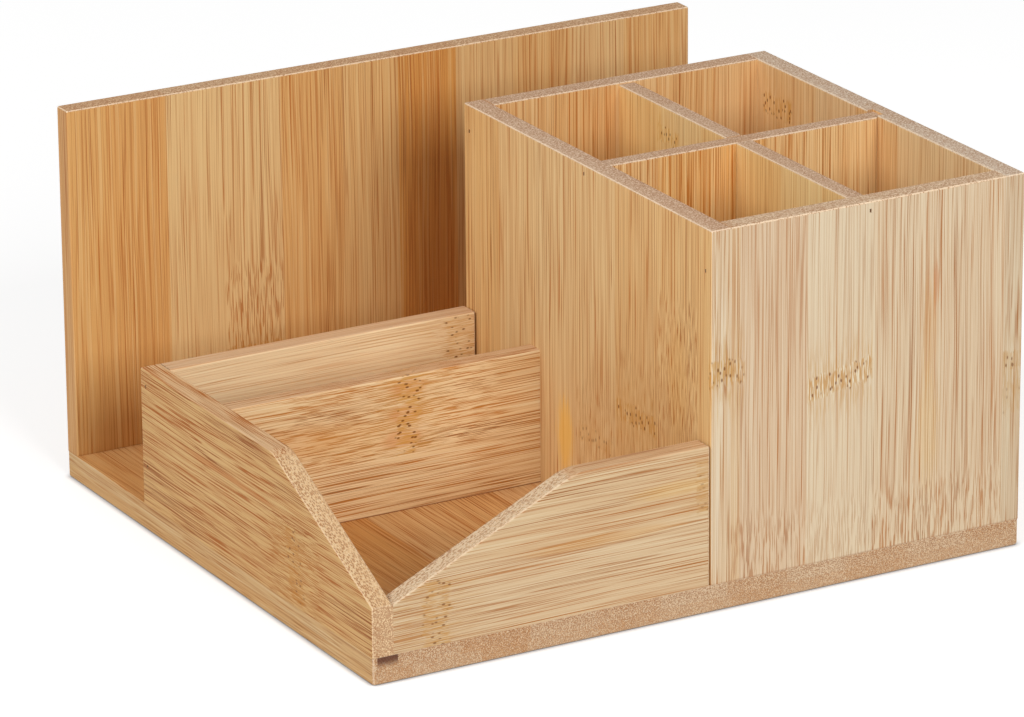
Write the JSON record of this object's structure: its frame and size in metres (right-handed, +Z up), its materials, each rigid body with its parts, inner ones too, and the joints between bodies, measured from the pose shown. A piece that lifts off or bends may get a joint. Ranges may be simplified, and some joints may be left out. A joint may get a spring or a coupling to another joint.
{
  "type": "desk organizer",
  "caption": "Open bamboo desk organizer: tall back panel with a letter slot, low tray with sloped walls and a divider, and a tall square pen box with wells.",
  "frame": {"origin": "middle of the underside of the base board, on the surface that the organizer stands on", "axes": "+X to the right along the front edge, +Y from the front edge to the back panel, +Z up"},
  "size_m": [0.21, 0.19, 0.1145],
  "materials": {
    "bamboo_base": "satin clear coat on flat-pressed bamboo",
    "bamboo_panel": "satin clear coat on flat-pressed bamboo",
    "bamboo_tray": "satin clear coat on flat-pressed bamboo",
    "bamboo_pen_box": "satin clear coat on flat-pressed bamboo",
    "bamboo_divider": "satin clear coat on flat-pressed bamboo",
    "brad_steel": "dull drawn wire"
  },
  "bodies": {
    "root": {"base_board": "bamboo_base", "back_panel": "bamboo_panel", "tray_left_wall": "bamboo_tray", "tray_front_wall": "bamboo_tray", "tray_back_wall": "bamboo_tray", "tray_divider": "bamboo_tray", "pen_box_left_wall": "bamboo_pen_box", "pen_box_right_wall": "bamboo_pen_box", "pen_box_front_wall": "bamboo_pen_box", "pen_box_back_wall": "bamboo_pen_box", "pen_divider_long": "bamboo_divider", "pen_divider_cross": "bamboo_divider", "base_brads_back_panel": "brad_steel", "base_brads_tray_left_wall": "brad_steel", "base_brads_tray_front_wall": "brad_steel", "base_brads_tray_back_wall": "brad_steel", "base_brads_tray_divider": "brad_steel", "base_brads_pen_box_left_wall": "brad_steel", "base_brads_pen_box_right_wall": "brad_steel", "base_brads_pen_box_front_wall": "brad_steel", "base_brads_pen_box_back_wall": "brad_steel", "base_brads_pen_divider_long": "brad_steel", "base_brads_pen_divider_cross": "brad_steel", "side_brads_tray_back_wall": "brad_steel", "left_brads_pen_box_front_wall": "brad_steel", "right_brads_pen_box_front_wall": "brad_steel", "left_brads_pen_box_back_wall": "brad_steel", "right_brads_pen_box_back_wall": "brad_steel", "left_brad_pen_divider_long": "brad_steel", "front_brad_pen_divider_cross": "brad_steel", "rear_brad_pen_divider_cross": "brad_steel"}
  },
  "joints": []
}
